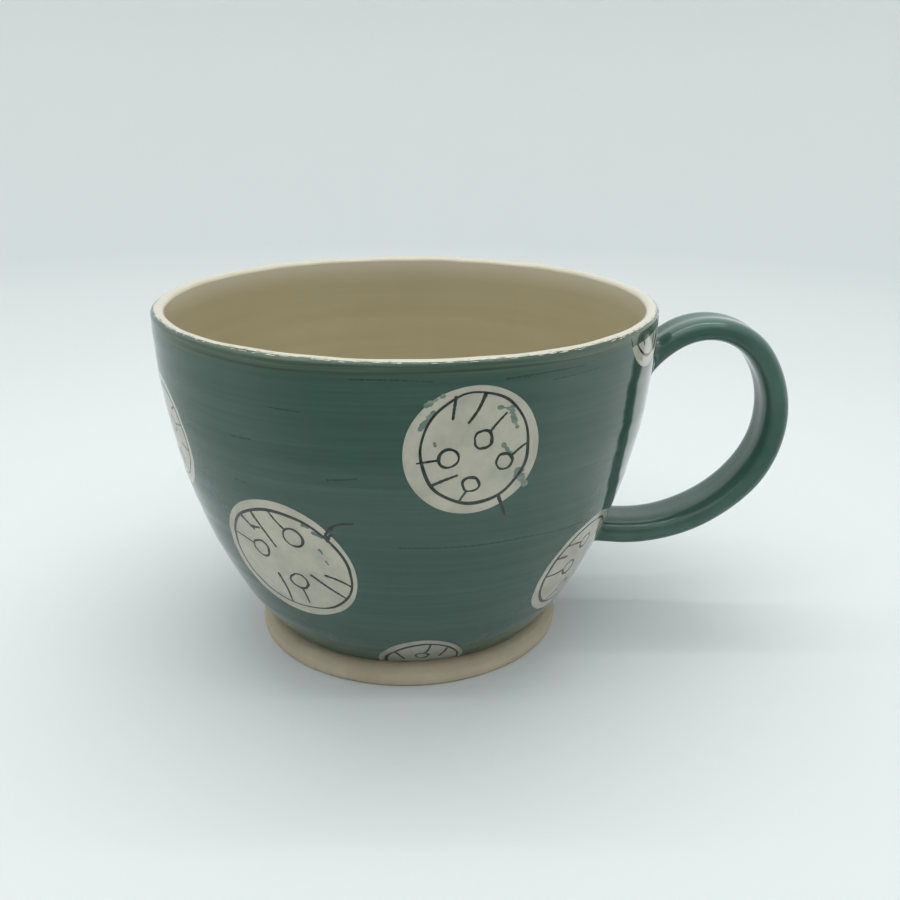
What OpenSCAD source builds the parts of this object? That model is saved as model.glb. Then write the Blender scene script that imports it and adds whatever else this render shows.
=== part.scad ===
// Wide bowl-shaped stoneware mug: thrown clay wall on a turned foot ring,
// pulled strap handle, brushed green slip with round cream windows, each
// window carrying a small black line drawing, and a cream liner glaze.
// Millimetres, +Z up, the foot rests on z = 0, the handle points along +X.

/* [Bowl] */
// Outside radius of the mug at the rim
rim_r = 60.1; // [52:0.1:68]
// Height of the mug from the table to the top of the lip
mug_h = 85; // [76:0.5:96]
// How far the wall draws in from the rim down to the foot along its main curve
belly_drop = 22.6; // [19:0.1:24]
// Extra drawing in of the wall just above the foot
tuck = 2.3; // [1:0.1:3]
// Clay and glaze thickness at the lip
lip_t = 3.1; // [2.8:0.1:4]
// Clay and glaze thickness low on the wall
base_t = 5; // [4:0.1:6]
// Height of the inside floor above the table
floor_z = 8; // [7:0.5:10]
// Rounding between the inside floor and the wall
floor_round = 13; // [9:0.5:15]

/* [Foot ring] */
// Height of the bare foot ring
foot_h = 4.5; // [4:0.1:6]
// Outside radius of the foot ring on the table
foot_r = 38.9; // [38.5:0.1:40]
// Inside radius of the foot ring
foot_in_r = 32; // [29:0.5:33]
// Depth of the hollow under the base
foot_hollow = 2.5; // [1.5:0.1:3]
// Rounding of the foot ring's two lower edges
foot_edge = 1.2; // [0.6:0.1:1.5]

/* [Handle] */
// Width of the strap
strap_w = 13.2; // [11:0.2:15]
// Thickness of the strap
strap_t = 5.2; // [4.6:0.1:6.4]
// Depth of the thumb groove along the outer face of the strap
groove_d = 0.5; // [0.2:0.1:0.7]
// How far the joining clay spreads round the strap at the rim end
upper_flare = 2.2; // [1.5:0.1:3]
// How far the joining clay spreads round the strap at the lower end
lower_flare = 2.4; // [1.5:0.1:3]

/* [Slip and glaze] */
// Thickness of the slip coat and of the liner glaze
coat_t = 0.4; // [0.3:0.05:0.6]
// Height of the brushed band just under the lip
band_h = 2.2; // [1.8:0.1:5]
// Height of the glazed lip edge
lip_h = 1.2; // [0.8:0.1:1.5]
// Width of the brushed black lines
line_w = 0.6; // [0.5:0.05:0.9]
// Depth the black lines take of the coat
line_d = 0.2; // [0.1:0.05:0.25]

/* [Hidden] */
$fn = 96;
wall_steps = 14;
hollow_steps = 11;
lip_steps = 10;
round_steps = 6;
loop_facets = 32;

// How sharply the belly curves in, how low the tuck above the foot stays, and
// how fast the wall thickens on its way down.
belly_power = 2.15;
tuck_power = 12;
thick_power = 1.5;

body_top = mug_h - lip_h;
band_low = body_top - band_h;

// Bends of the strap from the rim down: centre-line radius and degrees turned.
strap_bends = [[25.3, 24], [16, 85], [27.2, 77], [38.6, 52]];
// Where the straight root of the strap starts inside the wall, and its rise in degrees.
strap_start = [52.9, 61.4];
strap_rise = 54;
strap_root = 9;
strap_tail = 7;
// Each stretch of strap is this much fuller all round than the one above it,
// and runs this far on inside the next, so the strap swells towards its foot.
swell = 0.05;
lap = 0.6;
// The joining clay starts inside the wall, and thins to this little over the strap.
feather = 0.1;
upper_collar_in = 1.5;
upper_collar_l = 10;
lower_collar_at = [43.5, 25];
lower_collar_l = 9.5;

// Each window: degrees round the mug from the handle, height, window radius,
// radius of the drawn ring, sideways and upward shift of that ring.
windows = [
    [-76, 65.8, 14.1, 11.8, 0.6, 0.4],
    [-119, 36.3, 16.6, 14.6, 0.2, -0.2],
    [-157, 58.8, 13.2, 11, 0, 0],
    [-35, 27.6, 14.6, 12.2, 0, 0],
    [-84.5, 6.8, 10, 8.6, 0.3, -0.6],
    [-25, 89.2, 14.3, 11.8, 0, 0],
    [33, 56, 13.2, 11, 0, 0.3],
    [78, 33, 15.2, 12.8, -0.3, 0],
    [116, 66, 14, 11.8, 0.4, 0],
    [157, 33, 14.6, 12.2, 0, 0.4],
    [66, 85, 13, 10.8, 0, 0],
    [122, 7, 10.4, 8.8, 0, 0]];

// Loops drawn in each window: middle, radius, and the far end of the stem.
loops = [
    [[1.9, 2.6, 1.9, 6.6, 7.6], [-5, -1, 2, -10.8, -1.8], [6.6, -2.7, 1.8, 11.4, 0.6], [-0.2, -7.2, 1.7, -2.6, -11]],
    [[-6.3, 2.1, 2.2, -13.6, 4.2], [3.8, 7.8, 2.4, -1.4, 13.8], [1.9, -5.4, 2.2, 2.4, -12.6]],
    [[4, 2.6, 1.9, 10.2, 3.8], [2.6, -6, 1.8, 6.2, -8.8], [-5.4, 0.6, 2, -10.4, 2.6]],
    [[-0.9, 6.9, 1.9, -9, 8.4], [-3.7, 0, 2, -12, 0.5], [-0.8, -7.5, 1.8, -6.6, -10.2], [5.4, 2, 1.9, 11.4, 3.6]],
    [[0.2, 1.6, 1.5, 1.8, 7.2]],
    [],
    [[2.6, 3, 1.9, 7.4, 7.8], [-4.6, -2, 1.8, -10.2, -3.4], [3.4, -4.6, 1.8, 7, -8]],
    [[-3.6, 5, 2.1, -8.4, 9.4], [5, 0.6, 2, 12.4, 1.4], [-2, -6, 2, -4.4, -11.8]],
    [[3.2, -3.4, 2, 8.4, -8.2], [-5.2, 1.8, 1.9, -11, 3.6], [1.8, 6, 1.8, 3.4, 11.2]],
    [[-4.6, -3.8, 2, -9.6, -7.2], [4, 4, 2.1, 9, 8.4], [4.6, -5.4, 1.8, 8.2, -8.6]],
    [[2.8, -4, 1.8, 6.4, -8.6]],
    [[-1.6, 2, 1.5, -4.2, 7.4]]];

// Short straight lines in each window: both ends.
dashes = [
    [[-3.9, 11.6, -4.4, 7.4], [2, 12, -1.2, 6.4], [-8.1, -6.9, -3.2, -4.9]],
    [[-9.9, 9.9, -6.7, 7.2], [-6.5, 12.2, -1.6, 3.9], [-3.5, -4.8, -2.8, -13.6], [5.7, -2.7, 11.6, -8], [9.3, -1.9, 13.6, -4.5]],
    [[7.2, -1.4, 10.8, -2.2], [5.6, 6.6, 7.6, 7.6], [-2.4, -5.4, -3.6, -10.2]],
    [[-7.4, 4.8, -11.2, 5.5], [2.6, -3.8, 7.4, -9.2], [3.8, 6.2, 6.2, 10.2]],
    [[-5.7, 3.4, -3.9, -0.5], [4.3, 0.5, 5.8, 5]],
    [[1, -11.6, 3.4, -8.4]],
    [[-3.6, 9.8, -2.8, 5.6], [-7.6, 5.4, -4.6, 3.4]],
    [[4, -8, 7.4, -10.4], [2, 12.6, 1.2, 8], [8, 6, 10.4, 7.4]],
    [[-3.4, -5.4, -6.2, -9.6], [-6.2, 7, -7.6, 9]],
    [[-6.4, 3, -11.4, 4.6], [-1.6, 6.8, -3.4, 11.6]],
    [[-4.8, -5, -6.6, -8.6]],
    [[3, 0.6, 5.6, 5.8]]];

// Lines that run out of the window over the green slip: both ends.
tails = [
    [[6, -10.6, 7.7, -16.2]],
    [[11.6, 8.6, 18.2, 13.6]],
    [], [], [], [],
    [[-7.6, 7.6, -11.6, 11.4]],
    [[10, -8.4, 14.4, -11.8]],
    [],
    [[-8.8, 9, -12.6, 12.2]],
    [], []];

// Outside radius of the finished wall at a height.
function wall_r(z) =
    let (down = 1 - (z - foot_h) / (mug_h - foot_h))
    rim_r - belly_drop * pow(max(down, 0), belly_power) - tuck * pow(max(down, 0), tuck_power);

// Lean of the wall in degrees from upright at a height, over a rise of 1 mm.
function wall_lean(z) =
    let (high = min(z + 0.5, mug_h))
    atan(wall_r(high) - wall_r(high - 1));

// Wall thickness with both coats at a height.
function wall_t(z) =
    lip_t + (base_t - lip_t) * pow(max((mug_h - z) / (mug_h - foot_h), 0), thick_power);

// Radius of the hollow at a height, rounded into a floor at the height given.
function hollow_r(z, bottom) =
    let (low = max(0, (bottom + floor_round - z) / floor_round))
    wall_r(z) - wall_t(z) - floor_round * (1 - sqrt(max(0, 1 - low * low)));

// Heights shared out evenly between two levels.
function levels(low, high, steps) = [for (i = [0:steps]) low + (high - low) * i / steps];

// Outline of the wall between two heights, pushed in by a depth.
function wall_line(low, high, depth, steps) = [for (z = levels(low, high, steps)) [wall_r(z) - depth, z]];

// Outline of the hollow from the top down to a floor, pushed out by a depth.
function hollow_line(high, bottom, depth) = concat(
    [for (z = levels(high, bottom + floor_round, hollow_steps)) [hollow_r(z, bottom) + depth, z]],
    [for (i = [1:round_steps])
        let (z = bottom + floor_round * (1 - sin(90 * i / round_steps)))
        [hollow_r(z, bottom) + depth * (1 - i / round_steps), z]]);

// Layer of the given depth lying on the wall between two heights.
module wall_skin(low, high, depth, steps) {
    outer = wall_line(low, high, 0, steps);
    inner = wall_line(low, high, depth, steps);
    rotate_extrude()
        polygon(concat(outer, [for (i = [steps:-1:0]) inner[i]]));
}

// Everything inside the clay face of the wall, used to trim what is stuck on it.
module wall_core(depth) {
    rotate_extrude()
        polygon(concat([[0, foot_h]], wall_line(foot_h, mug_h, depth, wall_steps), [[0, mug_h]]));
}

// Carries a flat drawing to the wall: x runs round the mug, y up the wall, z outwards.
module on_wall(turn, height) {
    rotate([0, 0, turn])
        translate([wall_r(height), 0, height])
            rotate([0, wall_lean(height), 0])
                rotate([90, 0, 90])
                    children();
}

// One straight brush line between two points.
module brush_line(ends) {
    run = [ends[2] - ends[0], ends[3] - ends[1]];
    translate([ends[0], ends[1]])
        rotate(atan2(run[1], run[0]))
            translate([-line_w / 2, -line_w / 2])
                square([norm(run) + line_w, line_w]);
}

// One loop with its stem, the stem starting at the edge of the loop.
module stem_loop(l) {
    away = [l[3] - l[0], l[4] - l[1]];
    edge = [l[0], l[1]] + away * l[2] / norm(away);
    translate([l[0], l[1]])
        difference() {
            circle(l[2] + line_w / 2, $fn = loop_facets);
            circle(l[2] - line_w / 2, $fn = loop_facets);
        }
    brush_line([edge[0], edge[1], l[3], l[4]]);
}

// The whole flat drawing of one window.
module flat_drawing(i) {
    w = windows[i];
    translate([w[4], w[5]])
        difference() {
            circle(w[3] + line_w / 2);
            circle(w[3] - line_w / 2);
        }
    for (l = loops[i])
        stem_loop(l);
    for (d = dashes[i])
        brush_line(d);
    for (d = tails[i])
        brush_line(d);
}

// Upright prism through the slip at one window.
module through_slip(i) {
    reach = 7;
    on_wall(windows[i][0], windows[i][1])
        translate([0, 0, -reach])
            linear_extrude(2 * reach)
                children();
}

// Cross-section of the strap, thickness along x and width along y, grown all round.
module strap_section(grow) {
    edge_r = strap_t / 2;
    groove_r = 8;
    difference() {
        union() {
            square([strap_t + 2 * grow, strap_w - strap_t], center = true);
            for (side = [-1, 1])
                translate([0, side * (strap_w / 2 - edge_r)])
                    circle(edge_r + grow);
        }
        translate([edge_r + groove_r - groove_d, 0])
            circle(groove_r - grow);
    }
}

// Straight stretch of strap running along +X from here.
module strap_straight(length, grow) {
    rotate([0, -90, -90])
        rotate([90, 0, 0])
            translate([0, 0, -length])
                linear_extrude(length)
                    strap_section(grow);
}

// Bends of the strap one after another, each carried on from the end of the last.
module strap_run(grow, first) {
    full = grow + swell * (first + 1);
    if (first < len(strap_bends)) {
        bend_r = strap_bends[first][0];
        turn = strap_bends[first][1];
        translate([0, 0, -bend_r])
            rotate([0, -90, -90])
                rotate_extrude(angle = turn + lap / bend_r * 180 / PI)
                    translate([bend_r, 0])
                        strap_section(full);
        translate([0, 0, -bend_r])
            rotate([0, turn, 0])
                translate([0, 0, bend_r])
                    strap_run(grow, first + 1);
    } else {
        strap_straight(strap_tail, full);
    }
}

// The whole strap from its root in the wall to its tail in the wall.
module strap(grow) {
    translate([strap_start[0], 0, strap_start[1]])
        rotate([0, -strap_rise, 0]) {
            strap_straight(strap_root + lap, grow);
            translate([strap_root, 0, 0])
                strap_run(grow, 0);
        }
}

// Flared collar of joining clay, wide at the wall and shrinking along the strap.
module collar(length, flare) {
    wide = strap_t / 2 + coat_t + flare;
    slim = strap_t / 2 + coat_t + feather;
    flat_w = strap_w - strap_t;
    for (side = [-1, 1])
        translate([0, side * flat_w / 2, 0])
            rotate([0, 90, 0])
                cylinder(h = length, r1 = wide, r2 = slim);
    rotate([90, 0, 0])
        linear_extrude(flat_w, center = true)
            polygon([[0, -wide], [length, -slim], [length, slim], [0, wide]]);
}

// Collar at the rim end of the strap, before trimming.
module upper_collar() {
    translate([strap_start[0], 0, strap_start[1]])
        rotate([0, -strap_rise, 0])
            translate([upper_collar_in, 0, 0])
                collar(upper_collar_l, upper_flare);
}

// Collar at the lower end of the strap, before trimming.
module lower_collar() {
    translate([lower_collar_at[0], 0, lower_collar_at[1]])
        collar(lower_collar_l, lower_flare);
}

// Thrown and turned clay bowl, without the foot ring.
module thrown_body() {
    color("#C9BD9C")
        rotate_extrude()
            polygon(concat(
                [[0, foot_hollow], [foot_in_r, foot_hollow], [foot_in_r, foot_h]],
                wall_line(foot_h, body_top, coat_t, wall_steps),
                hollow_line(body_top, floor_z - coat_t, coat_t),
                [[0, floor_z - coat_t]]));
}

// Bare turned foot ring, standing proud of the wall on rounded edges and a soft shoulder.
module foot_ring() {
    shoulder_z = foot_edge + 0.4;
    corner = [for (i = [0:round_steps]) 90 * i / round_steps];
    color("#B9AE90")
        rotate_extrude()
            polygon(concat(
                [for (a = corner) [foot_in_r + foot_edge * (1 - cos(a)), foot_edge * (1 - sin(a))]],
                [for (a = corner) [foot_r - foot_edge * (1 - sin(a)), foot_edge * (1 - cos(a))]],
                [for (a = corner)
                    [wall_r(foot_h) + (foot_r - wall_r(foot_h)) * cos(a), shoulder_z + (foot_h - shoulder_z) * sin(a)]],
                [[foot_in_r, foot_h]]));
}

// Clay of the pulled strap handle.
module handle_strap() {
    color("#B9AE90")
        difference() {
            strap(0);
            wall_core(coat_t);
        }
}

// Green slip all round the strap.
module handle_slip() {
    color("#2F4F44")
        difference() {
            strap(coat_t);
            strap(0);
            wall_core(coat_t);
        }
}

// Joining clay where the strap meets the rim end of the wall.
module upper_joint() {
    color("#34564A")
        difference() {
            upper_collar();
            strap(coat_t);
            wall_core(coat_t);
        }
}

// Joining clay where the strap meets the belly of the wall.
module lower_joint() {
    color("#34564A")
        difference() {
            lower_collar();
            strap(coat_t);
            wall_core(coat_t);
        }
}

// Brushed green slip over the wall, open at every window and under the handle.
module green_slip() {
    color("#3B5D50")
        difference() {
            wall_skin(foot_h, band_low, coat_t, wall_steps);
            for (i = [0:len(windows) - 1])
                through_slip(i)
                    circle(windows[i][2]);
            for (i = [0:len(windows) - 1])
                if (len(tails[i]) > 0)
                    intersection() {
                        wall_skin(foot_h, band_low, line_d, wall_steps);
                        through_slip(i)
                            for (d = tails[i])
                                brush_line(d);
                    }
            strap(coat_t);
            upper_collar();
            lower_collar();
        }
}

// Second brushed coat in a band just under the lip.
module rim_band() {
    color("#4A5C42")
        wall_skin(band_low, body_top, coat_t, 1);
}

// Cream glaze rolled over the lip.
module lip_glaze() {
    mid_r = rim_r - lip_t / 2;
    color("#DAD6C4")
        rotate_extrude()
            polygon([for (i = [0:lip_steps])
                let (a = 180 * i / lip_steps)
                [mid_r + lip_t / 2 * cos(a), body_top + lip_h * sin(a)]]);
}

// Cream glaze lining the hollow.
module liner_glaze() {
    outer = hollow_line(body_top, floor_z - coat_t, coat_t);
    inner = hollow_line(body_top, floor_z, 0);
    last = len(inner) - 1;
    color("#B5AC8A")
        rotate_extrude()
            polygon(concat(outer, [[0, floor_z - coat_t], [0, floor_z]], [for (i = [last:-1:0]) inner[i]]));
}

// Cream patch showing through one window, less its drawing.
module cream_window(i) {
    color("#CFCBB6")
        difference() {
            intersection() {
                wall_skin(foot_h, band_low, coat_t, wall_steps);
                through_slip(i)
                    circle(windows[i][2]);
            }
            line_drawing(i);
        }
}

// Black underglaze lines of one window.
module line_drawing(i) {
    color("#26302C")
        intersection() {
            wall_skin(foot_h, band_low, line_d, wall_steps);
            through_slip(i)
                flat_drawing(i);
        }
}

thrown_body();
foot_ring();
handle_strap();
handle_slip();
upper_joint();
lower_joint();
green_slip();
rim_band();
lip_glaze();
liner_glaze();
for (i = [0:len(windows) - 1]) {
    number = str(i < 9 ? "0" : "", i + 1);
    cream_window(i);
    line_drawing(i);
}
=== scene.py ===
import math

import bmesh
import bpy
import numpy as np
from mathutils import Matrix, Vector, kdtree
from mathutils.geometry import delaunay_2d_cdt


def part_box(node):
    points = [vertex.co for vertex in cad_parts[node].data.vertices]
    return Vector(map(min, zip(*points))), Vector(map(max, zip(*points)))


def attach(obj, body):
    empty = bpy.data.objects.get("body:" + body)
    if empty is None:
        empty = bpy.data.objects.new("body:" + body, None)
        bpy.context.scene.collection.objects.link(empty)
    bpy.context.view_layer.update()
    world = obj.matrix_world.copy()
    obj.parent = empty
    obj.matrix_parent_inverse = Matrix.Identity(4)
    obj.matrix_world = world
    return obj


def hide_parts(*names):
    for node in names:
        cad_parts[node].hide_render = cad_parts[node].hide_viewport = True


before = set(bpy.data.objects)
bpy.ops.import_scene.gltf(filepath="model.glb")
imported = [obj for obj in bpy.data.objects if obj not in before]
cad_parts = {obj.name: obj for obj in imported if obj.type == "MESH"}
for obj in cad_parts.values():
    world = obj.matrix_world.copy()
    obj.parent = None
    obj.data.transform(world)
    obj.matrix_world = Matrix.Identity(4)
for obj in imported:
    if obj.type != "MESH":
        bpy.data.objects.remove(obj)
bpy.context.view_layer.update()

# ---------------------------------------------------------------------------
# The thrown wall. One lump of stoneware opened and pulled up on the wheel,
# then turned thin at the foot. All coats follow its curve, worked out here in
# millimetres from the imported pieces' own boxes.
# ---------------------------------------------------------------------------
MM = 0.001
COAT = 0.4
RIM_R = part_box("lip_glaze")[1].x / MM
MUG_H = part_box("lip_glaze")[1].z / MM
BAND_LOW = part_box("rim_band")[0].z / MM
BODY_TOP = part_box("rim_band")[1].z / MM
FOOT_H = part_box("foot_ring")[1].z / MM
FOOT_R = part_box("foot_ring")[1].x / MM
BELLY_DROP = 22.6
TUCK = 2.3
LIP_T = 3.1
BASE_T = 5.0
FLOOR_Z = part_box("liner_glaze")[0].z / MM + COAT
FLOOR_ROUND = 13.0
BELLY_POWER = 2.15
TUCK_POWER = 12
THICK_POWER = 1.5


def wall_r(z):
    """Outside radius of the wall at a height, as in the part's source."""
    down = np.clip(1 - (z - FOOT_H) / (MUG_H - FOOT_H), 0, 1)
    return RIM_R - BELLY_DROP * down**BELLY_POWER - TUCK * down**TUCK_POWER


def hollow_r(z):
    """Radius of the hollow at a height, rounded into the floor."""
    rise = np.clip((MUG_H - z) / (MUG_H - FOOT_H), 0, 1)
    low = np.clip((FLOOR_Z + FLOOR_ROUND - z) / FLOOR_ROUND, 0, 1)
    straight = wall_r(z) - LIP_T - (BASE_T - LIP_T) * rise**THICK_POWER
    return straight - FLOOR_ROUND * (1 - np.sqrt(1 - low * low))


def add_node(tree, kind, wires=None, **settings):
    """Adds one node, sets it up, and joins or fills its sockets."""
    made = tree.nodes.new(kind)
    for name, value in settings.items():
        setattr(made, name, value)
    for socket, source in (wires or {}).items():
        if isinstance(source, bpy.types.NodeSocket):
            tree.links.new(source, made.inputs[socket])
        else:
            made.inputs[socket].default_value = source
    return made


def fired(hex_code):
    """Linear colour of an sRGB hex value."""
    parts = [int(hex_code[i:i + 2], 16) / 255 for i in (1, 3, 5)]
    return [c / 12.92 if c <= 0.04045 else ((c + 0.055) / 1.055) ** 2.4 for c in parts] + [1.0]


def noise(tree, vector, scale, detail, rough=0.5):
    """Strength of a cloudy pattern at a place."""
    wires = {"Vector": vector, "Scale": scale, "Detail": detail, "Roughness": rough}
    return add_node(tree, "ShaderNodeTexNoise", wires).outputs["Fac"]


def drawn_out(tree, vector, scale):
    """A place scaled along each axis, so that a pattern on it runs out along the small ones."""
    return add_node(tree, "ShaderNodeMapping", {"Vector": vector, "Scale": scale}).outputs["Vector"]


def between_tones(tree, strength, low_at, low, high_at, high):
    """A colour that runs from one fired tone to another as a strength climbs."""
    ramp = add_node(tree, "ShaderNodeValToRGB", {"Fac": strength})
    for stop, at, colour in zip(ramp.color_ramp.elements, (low_at, high_at), (low, high)):
        stop.position = at
        stop.color = fired(colour)
    return ramp


def climb(tree, value, low, high, shape="LINEAR"):
    """Goes from 0 to 1 as a value goes from low to high."""
    wires = {"Value": value, "From Min": low, "From Max": high}
    return add_node(tree, "ShaderNodeMapRange", wires, interpolation_type=shape).outputs["Result"]


def mix_values(tree, share, first, second):
    """Mix of two strengths."""
    return add_node(tree, "ShaderNodeMix", {0: share, 2: first, 3: second}).outputs[0]


def mix_colours(tree, share, first, second):
    """Mix of two colours."""
    return add_node(tree, "ShaderNodeMix", {0: share, 6: first, 7: second}, data_type="RGBA").outputs[2]


def height_of(tree, place):
    """Height of a place above the table, in metres."""
    return add_node(tree, "ShaderNodeSeparateXYZ", {"Vector": place}).outputs["Z"]


def roughen(tree, shader, height, strength, depth):
    """Fine relief too small to model, as a bump."""
    wires = {"Height": height, "Strength": strength, "Distance": depth}
    relief = add_node(tree, "ShaderNodeBump", wires)
    tree.links.new(relief.outputs["Normal"], shader.inputs["Normal"])


def new_material(name):
    """A new material: its tree, its principled shader and the object coordinates."""
    made = bpy.data.materials.new(name)
    made.use_nodes = True
    tree = made.node_tree
    shader = tree.nodes["Principled BSDF"]
    place = add_node(tree, "ShaderNodeTexCoord").outputs["Object"]
    return made, tree, shader, place


def glaze_over(shader, rough):
    """Clear gloss glaze: a glassy skin over whatever colour lies under it."""
    shader.inputs["IOR"].default_value = 1.5
    shader.inputs["Roughness"].default_value = rough


# Bare fired stoneware: a fine cream body with iron specks, sponged smooth, dead matt.
clay, tree, shader, place = new_material("stoneware_clay_bare")
cloud = noise(tree, place, 45.0, 3.0, 0.6)
tone = between_tones(tree, cloud, 0.32, "#C6B998", 0.68, "#D9CFB4")
specks = add_node(tree, "ShaderNodeTexVoronoi", {"Vector": place, "Scale": 420.0})
fleck = climb(tree, specks.outputs["Distance"], 0.06, 0.12)
speckled = mix_colours(tree, fleck, fired("#8C7A5A"), tone.outputs["Color"])
tree.links.new(speckled, shader.inputs["Base Color"])
shader.inputs["Roughness"].default_value = 0.85
roughen(tree, shader, noise(tree, place, 900.0, 4.0), 0.25, 0.0003)
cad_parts["thrown_body"].data.materials.clear()
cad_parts["thrown_body"].data.materials.append(clay)


# ---------------------------------------------------------------------------
# The outside coats. Green slip is brushed on the leather-hard wall on the
# wheel, round windows are left cream, and black lines are drawn in them with
# a fine brush. Everything is cut from one unrolled sheet so the edges meet.
# ---------------------------------------------------------------------------
levels = np.linspace(FOOT_H, BODY_TOP, 600)
lip_arc = np.linspace(0, math.pi, 61)
lip_mid = RIM_R - LIP_T / 2
lip_rise = MUG_H - BODY_TOP - 0.05
line_r = np.concatenate([wall_r(levels), lip_mid + (wall_r(BODY_TOP) - lip_mid) * np.cos(lip_arc[1:])])
line_z = np.concatenate([levels, BODY_TOP + lip_rise * np.sin(lip_arc[1:])])
run = np.concatenate([[0], np.cumsum(np.hypot(np.diff(line_r), np.diff(line_z)))])
RUN_BODY = run[len(levels) - 1]
RUN_TOP = run[-1]
SHEET_R = 60.0
SHEET_HALF = math.pi * SHEET_R


def height_at(up):
    """Height of a place given by its distance up the wall."""
    return np.interp(up, run[:len(levels)], levels)


def way_up(height):
    """Distance up the wall of a height, running on straight above and below it."""
    return np.interp(height, levels, run[:len(levels)]) + max(0, height - BODY_TOP)


# Each window: degrees round the mug from the handle, height, radius, half-width
# and half-height of the drawn ring, and the ring's sideways and upward shift.
WINDOWS = [
    (-76, 65.8, 14.1, 11.2, 12.2, 0.6, 0.4),
    (-119, 36.3, 16.6, 15.2, 14.2, 0.2, -0.2),
    (-157, 58.8, 13.2, 11.0, 11.0, 0.0, 0.0),
    (-35, 27.6, 14.6, 12.4, 12.4, 0.0, 0.0),
    (-84.5, 6.6, 10.0, 8.4, 8.4, 0.3, -0.6),
    (-25, 89.2, 14.3, 11.8, 11.8, 0.0, 0.0),
    (33, 56.0, 13.2, 11.0, 11.0, 0.0, 0.3),
    (78, 33.0, 15.2, 12.8, 12.8, -0.3, 0.0),
    (116, 66.0, 14.0, 11.8, 11.8, 0.4, 0.0),
    (157, 33.0, 14.6, 12.2, 12.2, 0.0, 0.4),
    (66, 85.0, 13.0, 10.8, 10.8, 0.0, 0.0),
    (122, 7.0, 10.4, 8.8, 8.8, 0.0, 0.0),
]

# Loops in each window: middle, radius, and the far end of the stem.
LOOPS = [
    [(1.9, 2.6, 1.9, 6.6, 7.8), (-5.0, -1.0, 2.0, -11.2, -1.8), (6.6, -2.7, 1.75, 11.9, 0.9),
     (-0.2, -7.2, 1.7, -2.4, -11.2)],
    [(-6.3, 2.1, 2.2, -14.6, 4.2), (3.8, 7.8, 2.4, -1.4, 13.8), (1.9, -5.4, 2.2, 2.4, -12.4)],
    [(4.0, 2.6, 1.9, 10.4, 3.8), (2.6, -6.0, 1.8, 6.2, -9.0), (-5.4, 0.6, 2.0, -10.6, 2.6)],
    [(-0.9, 6.9, 1.9, -9.2, 8.4), (-3.7, 0.0, 2.0, -12.2, 0.5), (-0.8, -7.5, 1.8, -6.6, -10.4),
     (5.4, 2.0, 1.9, 11.6, 3.6)],
    [(0.2, 1.6, 1.5, 1.8, 7.4)],
    [],
    [(2.6, 3.0, 1.9, 7.4, 8.0), (-4.6, -2.0, 1.8, -10.4, -3.4), (3.4, -4.6, 1.8, 7.0, -8.0)],
    [(-3.6, 5.0, 2.1, -8.4, 9.4), (5.0, 0.6, 2.0, 12.4, 1.4), (-2.0, -6.0, 2.0, -4.4, -12.0)],
    [(3.2, -3.4, 2.0, 8.4, -8.2), (-5.2, 1.8, 1.9, -11.2, 3.6), (1.8, 6.0, 1.8, 3.4, 11.4)],
    [(-4.6, -3.8, 2.0, -9.6, -7.2), (4.0, 4.0, 2.1, 9.0, 8.6), (4.6, -5.4, 1.8, 8.2, -8.6)],
    [(2.8, -4.0, 1.8, 6.4, -8.7)],
    [(-1.6, 2.0, 1.5, -4.2, 7.6)],
]

# Short straight strokes in each window: both ends.
DASHES = [
    [(-3.9, 11.8, -4.4, 7.4), (2.0, 12.1, -1.2, 6.4), (-8.1, -6.9, -3.2, -4.9)],
    [(-9.9, 10.2, -6.7, 7.2), (-7.6, 7.9, -5.0, 8.2), (-6.5, 12.5, -1.6, 3.9), (-3.5, -4.8, -2.8, -13.9),
     (5.7, -2.7, 12.4, -8.4), (9.3, -1.9, 14.7, -4.5), (12.0, 8.4, 12.9, 10.4), (11.7, 9.0, 13.6, 10.6)],
    [(7.2, -1.4, 10.9, -2.2), (5.6, 6.6, 7.9, 7.6), (-2.4, -5.4, -3.6, -10.4)],
    [(-7.4, 4.8, -11.4, 5.5), (2.6, -3.8, 7.4, -9.4), (3.8, 6.2, 6.2, 10.4)],
    [(-5.9, 3.6, -3.9, -0.5), (4.3, 0.5, 5.8, 5.0)],
    [(1.0, -11.7, 3.4, -7.4), (6.4, -9.9, 6.9, -7.4), (-5.2, -7.4, -4.6, -8.6)],
    [(-3.6, 10.0, -2.8, 5.6), (-7.8, 5.6, -4.6, 3.4)],
    [(4.0, -8.0, 7.4, -10.6), (2.0, 12.6, 1.2, 8.0), (8.0, 6.0, 10.4, 7.6)],
    [(-3.4, -5.4, -6.2, -9.8), (-6.2, 7.0, -7.8, 9.2)],
    [(-6.4, 3.0, -11.4, 4.6), (-1.6, 6.8, -3.4, 11.8)],
    [(-4.8, -5.0, -6.6, -8.8)],
    [(3.0, 0.6, 5.6, 5.8)],
]

# Strokes that slip out of a window over the green: both ends.
TAILS = [
    [(6.0, -10.8, 7.7, -15.6)], [(11.6, 9.5, 18.4, 13.8)], [], [], [], [],
    [(-7.6, 7.8, -11.6, 11.4)], [(10.0, -8.4, 14.4, -11.8)], [], [(-8.8, 9.0, -12.6, 12.2)], [], []]

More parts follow.
